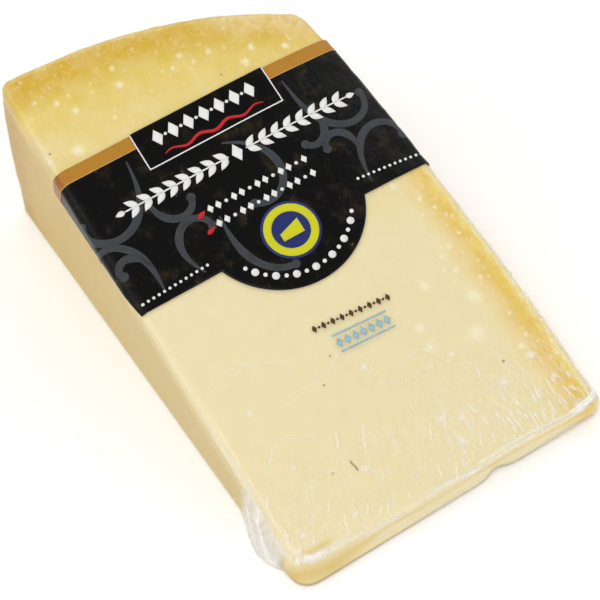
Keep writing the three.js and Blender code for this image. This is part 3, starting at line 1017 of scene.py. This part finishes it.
def film_material():
    """Clear film: a thin gloss over what lies behind it, with a whitish haze where it is creased, along
    its edges and in its loose fold, which is partly milky film and partly painted highlight.
    """
    s = Shading("clear_film")
    s.nodes.remove(s.nodes["Principled BSDF"])
    waves = s.math("MULTIPLY_ADD", s.noise(1.8, detail=2), 0.15, s.noise(6.0))
    clear = s.add("BsdfTransparent", 0)
    gloss = s.add("BsdfGlossy", 0, {"Roughness": FILM_ROUGHNESS, "Normal": s.bump(waves, 0.3)})
    mirrored = s.math("MINIMUM", s.add("Fresnel", 0, {"IOR": FILM_IOR}), FILM_GLOSS_LIMIT)
    coated = s.add("MixShader", 0, {0: mirrored, 1: clear, 2: gloss})
    # The whitish layer: partly milky film, partly painted highlight on folds and edges
    milky = s.add("BsdfDiffuse", 0, {"Color": (0.93, 0.91, 0.86)})
    haze = s.times(s.attribute("haze"), s.step(s.noise(2.0), 0.3, 0.65, 0.75, 1.0))
    for zone, lines in HAIR_LINES.items():
        haze = s.math("MAXIMUM", haze, hair_lines(s, zone, *lines))
    final = s.add("MixShader", 0, {0: s.math("MINIMUM", haze, HAZE_LIMIT), 1: coated, 2: milky})
    s.put(final, s.nodes["Material Output"].inputs["Surface"])
    return s.material


def bead_haze_and_highlight(surface):
    """The bead of film along the tip's top edge: a milky veil between two lines of painted highlight,
    whitest at its ends, where painted highlight is added to it.
    """
    r, y = surface.radius, surface.y
    out = past_bead_line(surface)
    outer = BEAD_WIDTH - 0.4
    veil = smooth(out, -0.2, 0.5) * (1 - smooth(out, outer, BEAD_WIDTH + 0.4))
    amount = 0.34 + 0.3 * smooth(y, 34, 48) + 0.56 * smooth(-y, 40, 46)
    bead = amount * veil + 0.45 * line_at(out, 0.2, 0.3) + 0.4 * line_at(out, outer, 0.3)
    foot = 0.4 * smooth(-y, -20, 0) * line_at(surface.points[:, 2], 1.6, 1.0) * (r < 26)
    return np.maximum(bead, foot) * ((r < 32) & (y > -54) & (y < 53) & (out < 9))


def ear_haze_and_highlight(surface):
    """The spare film on the left side by the tip: an even veil with brighter streaks along it, partly
    milky film and partly painted highlight on the fold.
    """
    r, z = surface.radius, surface.points[:, 2]
    start, end = EAR_START_RADIUS, EAR_START_RADIUS + EAR_LENGTH
    veil = smooth(np.interp(r, *zip(*EAR_VEIL_TOP)) - z, -1.5, 1.5)
    veil *= smooth(r, start, start + 3) * (1 - smooth(r, end - 5, end + 1))
    side = smooth(surface.y, LEFT_Y - 1.2, LEFT_Y)
    return side * veil * (0.6 + 0.36 * highest_crease(r, z, EAR_STREAKS, 0.7, 1.0))


def left_edge_highlight(surface):
    """Painted highlight: thin bright lines along the left top edge, which fade towards the band, and one
    by the heel.
    """
    r, y, depth = surface.radius, surface.y, surface.depth
    towards_tip = 0.2 + 0.8 * (1 - smooth(r, 50, 95))
    lines = 0.55 * line_at(depth, 1.2, 0.4) + 0.35 * line_at(y, LEFT_Y - 1.3, 0.35) * (depth < 0.8)
    heel = 0.3 * (r > 171) * (1 - smooth(r, 178, 188)) * line_at(depth, 1.0, 0.9)
    on_left = (y > 48) & (surface.points[:, 2] > 4) & (depth < 4) & (r > 27)
    return on_left * (heel + lines * towards_tip * (1 - smooth(r, 106, 114)))


def film_haze_and_highlight(surface, folds):
    """How whitish the film is, partly milky and partly painted highlight: at its folds, along the edges
    and in the loose ear (0 to 1).
    """
    creased = 0.6 * smooth(folds, 0.015, 0.1)
    patches = 0.72 * spots(surface, MILKY_SPOTS, 0.35)
    edges = np.maximum(bead_haze_and_highlight(surface), left_edge_highlight(surface))
    haze = np.maximum(np.maximum(creased, patches), np.maximum(edges, ear_haze_and_highlight(surface)))
    return np.clip(haze, 0, HAZE_LIMIT)


def wrinkled_zones(surface):
    """How strong the fine strokes are: left, middle and right by the tip, and along the flank."""
    r, y, depth = surface.radius, surface.y, surface.depth
    by_tip = (depth < 1) * smooth(r, 22, 26) * (1 - smooth(r, 32, 58))
    to_right = smooth(-y, 18, 26)
    edge_width = 5 + 5 * (1 - smooth(r, 40, 62))
    edge = (1 - smooth(y - flank_y(r), 1.5, edge_width)) * (1 - smooth(r, 90, 112)) * (depth < 6)
    return {
        "left_wrinkles": 0.28 * smooth(y, -4, 8) * by_tip,
        "middle_wrinkles": 0.46 * smooth(-y, -4, 6) * (1 - to_right) * by_tip,
        "right_wrinkles": 0.58 * to_right * by_tip,
        "edge_wrinkles": 0.66 * edge,
    }


def make_film():
    surface = PackSurface(**FILM_MESH, with_ear=True)
    folds = film_folds(surface)
    shape = surface.points + surface.normals * (body_relief(surface.points) + folds)[:, None]
    shape[:, 0] += foot_notch(surface)
    shape[:, 2] = np.maximum(shape[:, 2], 0)
    attributes = {"haze": film_haze_and_highlight(surface, folds), **wrinkled_zones(surface)}
    film = film_material()
    add_piece("clear_film", shape, surface.faces, film, ["cheese_pack"], attributes)


# ---------------------------------------------------------------- laying print on the pack


def band_points(flat, lift):
    """Model points of flat places of the print, as (radius at y = 0, s), at a lift over the film."""
    s = flat[:, 1]
    on_left = s > LEFT_TURN
    right_turn = flank_y(flat[:, 0]) + TOP_EDGE_ROUND
    centre = np.clip(s, right_turn, LEFT_TURN)
    past = np.abs(s - centre)
    turn = np.minimum(past / TOP_EDGE_ROUND, math.pi / 2)
    drop = np.maximum(past - TOP_EDGE_ROUND * math.pi / 2, 0)
    wall_depth = TOP_EDGE_ROUND * (1 - np.cos(turn)) + drop
    spread = np.where(on_left, FOOT_SPREAD * (1 - height_share_at(flat[:, 0], wall_depth)), 0)

    def at(height):
        y = centre + np.sign(s - centre) * ((TOP_EDGE_ROUND + height) * np.sin(turn) + spread)
        depth = wall_depth - height * np.cos(turn)
        placed = sector_points(flat[:, 0] + BAND_SLOPE * y, y, top_angle(y))
        return placed - depth[:, None] * TOP_NORMAL

    return at(lift + body_relief(at(0)))


def even_odd(points, loops):
    """Whether each 2D point lies inside the loops."""
    inside = np.zeros(len(points), bool)
    for loop in loops:
        for (ax, ay), (bx, by) in zip(loop, np.roll(loop, -1, axis=0)):
            if ay == by:
                continue
            spans = (ay > points[:, 1]) != (by > points[:, 1])
            inside ^= spans & (points[:, 0] < (bx - ax) * (points[:, 1] - ay) / (by - ay) + ax)
    return inside


def even_steps(loop, step):
    """A closed loop with points added so that none are further apart than a step."""
    loop = np.asarray(loop, float)
    dense = []
    for a, b in zip(loop, np.roll(loop, -1, axis=0)):
        count = max(1, math.ceil(np.linalg.norm(b - a) / step))
        dense.extend(a + (b - a) * k / count for k in range(count))
    return np.array(dense)


def filled(loops, step):
    """Points and triangles that fill flat loops, fine enough to follow the pack's surface."""
    loops = [even_steps(loop, step) for loop in loops]
    border = np.concatenate(loops)
    low, high = border.min(0), border.max(0)
    grid = np.stack(np.meshgrid(*[np.arange(low[k] + step / 2, high[k], step) for k in (0, 1)]), axis=-1)
    grid = grid.reshape(-1, 2)
    grid = grid[even_odd(grid, loops)]
    grid = [g for g in grid if np.min(np.hypot(*(border - g).T)) > LEAST_BORDER_GAP * step]
    points = [Vector(p) for p in (*border, *grid)]
    edges, start = [], 0
    for loop in loops:
        count = len(loop)
        edges += [(start + k, start + (k + 1) % count) for k in range(count)]
        start += count
    found, _, faces, *_ = geometry.delaunay_2d_cdt(points, edges, [], 0, 1e-6)
    found = np.array([tuple(p) for p in found])
    faces = np.array(faces)
    middle = found[faces].mean(axis=1)
    return found, faces[even_odd(middle, loops)]


@functools.cache
def ink(name):
    """Ink on tight film: softly glossy and uneven in colour, with painted glints in its worn patches.
    Pieces in one ink share its material.
    """
    screen_colour, roughness, *wear_and_glints = INKS[name]
    s = Shading(name)
    colour = linear(screen_colour)
    if wear_and_glints:
        wear_and_glint_share, (patch_colour, glint_colour) = wear_and_glints
        patch = s.step(s.noise(6.0, detail=5, roughness=0.65), 0.5, 0.72)
        colour = s.tint(colour, patch_colour, patch, wear_and_glint_share)
        # Painted highlight: small glints in the worn patches
        glints = s.times(s.step(s.noise(1.4), 0.62, 0.74), patch)
        colour = s.tint(colour, glint_colour, glints, wear_and_glint_share)
    if name == "gold_print":
        # Painted shade on the gold where it wraps the left edge
        colour = s.mix(past_left_edge(s), colour, shaded_wrapped_gold(s))
    waves = s.math("MULTIPLY_ADD", s.noise(1.1, detail=4), 0.2, s.noise(5.0))
    s.set(Base_Color=colour, Roughness=roughness, Specular_IOR_Level=0.12, Normal=s.bump(waves, 0.3))
    return s.material


def past_left_edge(s):
    edge = MIDDLE_Y + LEFT_Y
    return s.step(s.add("SeparateXYZ", "Y", {0: s.place()}), edge - 1.2, edge)


def shaded_wrapped_gold(s):
    """The gold where it wraps the left edge: browner with painted shade, with streaks down the side."""
    streaks = s.noise(1.6, vector=s.place((1, 1, 0.3)))
    return s.mix(s.step(streaks, 0.45, 0.7), linear(GOLD_WRAPPED_SHADE), linear(INKS["gold_print"][0]))


class Print:
    """One printed colour: flat shapes, laid over the film as a thin closed sheet."""

    def __init__(self, name, lift, step=1.0):
        self.name, self.lift, self.step = name, lift, step
        self.points, self.faces, self.count = [], [], 0

    def add(self, *loops):
        """Adds one shape: a loop of (radius, s) points, and loops for its holes."""
        flat, faces = filled(loops, self.step)
        count = len(flat)
        sides = np.concatenate([faces[:, [0, 1]], faces[:, [1, 2]], faces[:, [2, 0]]]).tolist()
        known = {tuple(edge) for edge in sides}
        walls = np.array([(b, a, a + count, b + count) for a, b in sides if (b, a) not in known])
        for group in (faces, faces[:, ::-1] + count, walls):
            self.faces += (group + self.count).tolist()
        low, high = (band_points(flat, lift) for lift in self.lift)
        self.points += [high, low]
        self.count += 2 * count

    def finish(self, ink_name, node="printed_band"):
        add_piece(self.name, np.concatenate(self.points), self.faces, ink(ink_name), [node])


# ---------------------------------------------------------------- shapes of the print, in (radius, s)


def arc(centre, radius, start, end, count):
    """Points on an arc, with angles in degrees from the tip's direction towards +s."""
    angles = np.radians(np.linspace(start, end, count))
    return np.stack([centre[0] - radius * np.cos(angles), centre[1] + radius * np.sin(angles)], axis=-1)


def disc(centre, radius, sides=24):
    return arc(centre, radius, 0, 360, sides + 1)[:-1]


def rectangle(low, high):
    return [(low[0], low[1]), (high[0], low[1]), (high[0], high[1]), (low[0], high[1])]


def lozenge(centre, half_radius, half_s):
    r, s = centre
    return [(r - half_radius, s), (r, s + half_s), (r + half_radius, s), (r, s - half_s)]


def leaf(root, angle, length, width, count=9):
    """A pointed leaf that grows from its root, with its angle in degrees from +s towards the rind."""
    t = np.linspace(0, 1, count)
    half = width / 2 * np.sin(np.pi * t**0.8)
    along = np.array([math.sin(math.radians(angle)), math.cos(math.radians(angle))])
    off = np.array([along[1], -along[0]])
    line = np.asarray(root) + t[:, None] * length * along
    upper = line + half[:, None] * off
    lower = line - half[:, None] * off
    return np.concatenate([upper, lower[-2:0:-1]])


def stroke(path, widths):
    """The outline of a line with one width, or a width at each of its points."""
    path = np.asarray(path, float)
    half = np.broadcast_to(np.asarray(widths, float) / 2, len(path))
    run = np.gradient(path, axis=0)
    run /= np.linalg.norm(run, axis=1)[:, None]
    off = np.stack([run[:, 1], -run[:, 0]], axis=-1) * half[:, None]
    return np.concatenate([path + off, (path - off)[::-1]])


def curled_path(start, heading, length, bends):
    """A stem whose bend (radians per mm) changes evenly along it; heading as for a leaf."""
    t = np.linspace(0, 1, STEM_STEPS)
    turn = math.radians(heading) + length * (bends[0] * t + (bends[1] - bends[0]) * t**2 / 2)
    steps = np.stack([np.sin(turn), np.cos(turn)], axis=-1) * length / (STEM_STEPS - 1)
    return np.asarray(start, float) + np.cumsum(steps, axis=0) - steps[0]


def add_row(layer, centres, lozenge_halves, to_dot, dot_radius, dot_sides):
    """Adds a lozenge at each centre, and a dot a short way past each but the last."""
    for centre in centres:
        layer.add(lozenge(centre, *lozenge_halves))
    for centre in centres[:-1]:
        layer.add(disc(centre + to_dot, dot_radius, dot_sides))


# ---------------------------------------------------------------- the printed pieces


def band_left(radius):
    """Where the band's left border lies at a radius, as s."""
    share = (radius - BAND_TIP_RADIUS) / (BAND_HEEL_RADIUS - BAND_TIP_RADIUS)
    return LEFT_TURN + WRAP_LEFT["tip"] + (WRAP_LEFT["heel"] - WRAP_LEFT["tip"]) * share


def band_right(radius):
    return flank_y(radius) + TOP_EDGE_ROUND - WRAP_RIGHT


def make_band():
    """The black band: its heel edge, its left end, its tip edge with the lobe, and its right end."""
    opening = math.degrees(math.acos((LOBE_CENTRE[0] - BAND_TIP_RADIUS) / LOBE_RADIUS))
    corner = BAND_HEEL_RADIUS - BAND_CORNER_CUT
    band = Print("print_band", BAND_LIFT, step=0.8)
    band.add([
        (BAND_HEEL_RADIUS, band_right(BAND_HEEL_RADIUS)),
        (BAND_HEEL_RADIUS, band_left(BAND_HEEL_RADIUS) - BAND_CORNER_CUT),
        (corner, band_left(corner)),
        (BAND_TIP_RADIUS, band_left(BAND_TIP_RADIUS)),
        *arc(LOBE_CENTRE, LOBE_RADIUS, opening, -opening, 60),
        (BAND_TIP_RADIUS, band_right(BAND_TIP_RADIUS)),
    ])
    band.finish("black_print")


def make_gold_strips():
    """A gold strip on each side of the box, with a thin paler line along its tip edge."""
    inner, edge = GOLD_TIP_RADIUS, BAND_HEEL_RADIUS + GOLD_OVERLAP
    corner = edge - GOLD_CORNER_CUT
    box_right, box_left = BOX_LOW[1], BOX_HIGH[1]
    gold = Print("print_gold_strips", FIELD_LIFT, step=0.8)
    gold.add([
        (inner, box_left),
        (edge, box_left),
        (edge, band_left(edge) - GOLD_CORNER_CUT),
        (corner, band_left(corner) + GOLD_OVERLAP),
        (inner, band_left(inner) + GOLD_OVERLAP),
    ])
    gold.add([(inner, band_right(inner)), (edge, band_right(edge)), (edge, box_right), (inner, box_right)])
    gold.finish("gold_print")
    pale = Print("print_gold_lines", MARK_LIFT)
    for low, high in ((box_left, band_left(inner)), (band_right(inner), box_right)):
        pale.add(rectangle((inner + PALE_LINE[0], low), (inner + PALE_LINE[1], high)))
    pale.finish("pale_gold_print")


def make_box():
    """A plain black box over the gold strip, with a white line on three sides and a row of lozenges."""
    box = Print("print_box", MARK_LIFT)
    box.add(rectangle(BOX_LOW, BOX_HIGH))
    box.finish("box_print")
    line = Print("print_box_line", TOP_MARK_LIFT)
    low, high, w = BOX_LOW, BOX_HIGH, BOX_LINE
    line.add([
        (high[0], low[1]), (low[0], low[1]), (low[0], high[1]), (high[0], high[1]), (high[0], high[1] - w),
        (low[0] + w, high[1] - w), (low[0] + w, low[1] + w), (high[0], low[1] + w),
    ])
    row_radius, middle = high[0] - BOX_ROW_INSET, (low[1] + high[1]) / 2
    centres = np.array([(row_radius, middle + BOX_ROW_STEP * k) for k in range(-3, 4)])
    add_row(line, centres, (3.0, 1.9), (0, BOX_ROW_STEP / 2), 0.55, 12)
    line.finish("white_print")


def make_red_marks():
    """A red wave under the box's row, and a small red leaf before each small row."""
    red = Print("print_red_line", TOP_MARK_LIFT)
    t = np.linspace(0, 1, 60)
    wave_radius = BOX_LOW[0] + WAVE_INSET[0] + WAVE_HEIGHT * np.sin(t * math.pi * WAVE_HALF_TURNS)
    wave = np.stack([wave_radius, BOX_HIGH[1] - WAVE_INSET[1] - WAVE_LENGTH * t], axis=-1)
    red.add(stroke(wave, 0.25 + 0.85 * np.sin(np.pi * t) ** 0.7))
    for root in RED_LEAF_ROOTS:
        red.add(leaf(root, 158, 3.6, 1.7))
    red.finish("red_print")


def add_garland(white):
    """A lozenge with a garland of paired leaves on each side."""
    white.add(lozenge(TITLE, 3.2, 1.9))
    for side, heading in ((1, 0), (-1, 180)):
        stem = [(TITLE[0], s) for s in TITLE[1] + side * np.linspace(3.2, TITLE_HALF_RUN, 40)]
        white.add(stroke(stem, 0.5))
        for k in range(LEAF_PAIRS):
            root = (TITLE[0], TITLE[1] + side * (3.6 + LEAF_PAIR_SPACING * k))
            for lean in (LEAF_LEAN, -LEAF_LEAN):
                white.add(leaf(root, heading + side * lean, 4.8, 2.2))
        white.add(leaf(stem[-1], heading, 3.4, 1.9))


def make_ornaments():
    """The garland, two rows of lozenges and dots, dots round the lobe and two dotted lines."""
    white = Print("print_ornament", MARK_LIFT, step=1.2)
    add_garland(white)
    for radius in SMALL_ROW_RADII:
        for k, s in enumerate(np.linspace(*SMALL_ROW_ENDS, SMALL_ROW_COUNT)):
            place = (radius, s)
            white.add(disc(place, 0.6, 12) if k % 3 == 2 else lozenge(place, 1.5, 1.1))
    half_arc = LOBE_DOTS_HALF_ARC
    for k, centre in enumerate(arc(LOBE_CENTRE, LOBE_RADIUS - LOBE_DOTS_INSET, -half_arc, half_arc, 15)):
        white.add(disc(centre, 1.25 if k % 2 else 0.7, 16))
    for start, end in DOTTED_LINES:
        for centre in np.linspace(start, end, 13):
            white.add(disc(centre, 0.5, 10))
    white.finish("white_print")


def make_scrolls():
    """Grey curling stems in the background of the black field, each with a round end."""
    grey = Print("print_scrolls", FIELD_LIFT, step=0.8)
    widths = np.interp(np.linspace(0, 1, STEM_STEPS), (0, 0.45, 1), STEM_WIDTHS)
    for stem in STEMS:
        path = curled_path(*stem)
        grey.add(stroke(path, widths))
        grey.add(disc(path[-1], STEM_TIP_RADIUS, 16))
    grey.finish("grey_print")


def make_roundel():
    """A plain roundel: a blue disc that carries a yellow ring and a yellow wedge inside it."""
    yellow = Print("print_roundel_yellow", TOP_MARK_LIFT)
    yellow.add(*(disc(ROUNDEL_CENTRE, radius, 60) for radius in ROUNDEL_RING))
    yellow.add(ROUNDEL_CENTRE + ROUNDEL_WEDGE)
    yellow.finish("yellow_print")
    blue = Print("print_roundel_blue", MARK_LIFT)
    blue.add(disc(ROUNDEL_CENTRE, ROUNDEL_RADIUS, 60))
    blue.finish("blue_print")


def make_film_marks():
    """Two small generic marks printed on the clear film: a brown row and pale blue stripes."""
    brown = Print("print_brown_row", MARK_LIFT)
    add_row(brown, np.linspace(*BROWN_ROW, 9), (1.3, 0.8), BROWN_ROW_TO_DOT, 0.42, 10)
    brown.finish("brown_print", "cheese_pack")
    blue = Print("print_pale_blue", MARK_LIFT)
    for side in (-PALE_BLUE_STRIPE_GAP, PALE_BLUE_STRIPE_GAP):
        blue.add(stroke(np.linspace(PALE_BLUE_LOW + (side, 0), PALE_BLUE_HIGH + (side, 0), 12), 0.5))
    for t in np.linspace(0.06, 0.94, 7):
        blue.add(lozenge(PALE_BLUE_LOW + (PALE_BLUE_HIGH - PALE_BLUE_LOW) * t, 1.7, 1.1))
    blue.finish("pale_blue_print", "cheese_pack")


# ---------------------------------------------------------------- the scene

bpy.context.scene.view_settings.view_transform = "Standard"

make_camera()
make_surround()
make_lamps()
make_floor()
make_cheese()
make_film()
make_band()
make_gold_strips()
make_box()
make_red_marks()
make_ornaments()
make_scrolls()
make_roundel()
make_film_marks()
